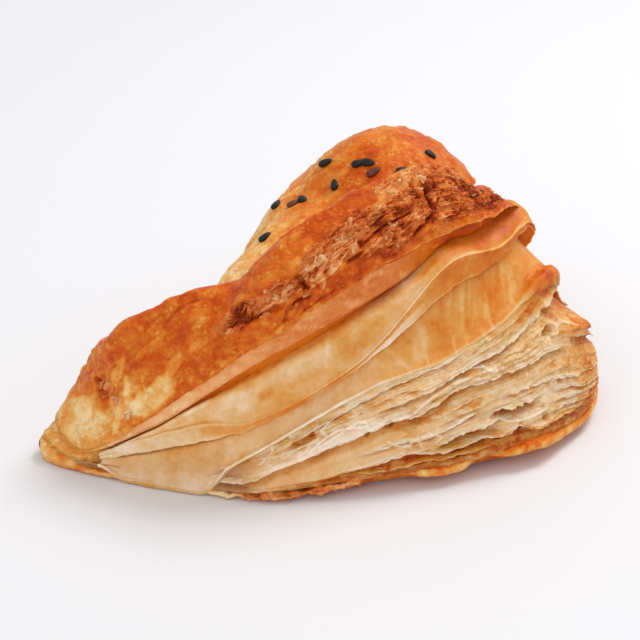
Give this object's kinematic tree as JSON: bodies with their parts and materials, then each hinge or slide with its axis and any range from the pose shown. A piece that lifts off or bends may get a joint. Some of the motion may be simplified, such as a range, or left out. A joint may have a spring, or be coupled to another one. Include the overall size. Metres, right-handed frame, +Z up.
{
  "type": "turnover pastry",
  "caption": "Triangular puff-pastry turnover with a browned, seeded top, smooth folded side and flaky layers that fan apart along its cut edges.",
  "frame": {"origin": "on the surface the turnover stands on, under the middle of its box", "axes": "+Z up from the surface, -Y towards the first cut leg, +X from its acute tip to the square corner"},
  "size_m": [0.1204, 0.124, 0.0631],
  "materials": {
    "crust": "egg-washed, baked golden to red-brown, flaky with a soft sheen",
    "layers": "pale cream dough sheets with whitish ragged edges, slightly waxy",
    "seeds": "black sesame, dull satin"
  },
  "bodies": {
    "root": {"pastry": "crust"}
  },
  "joints": []
}
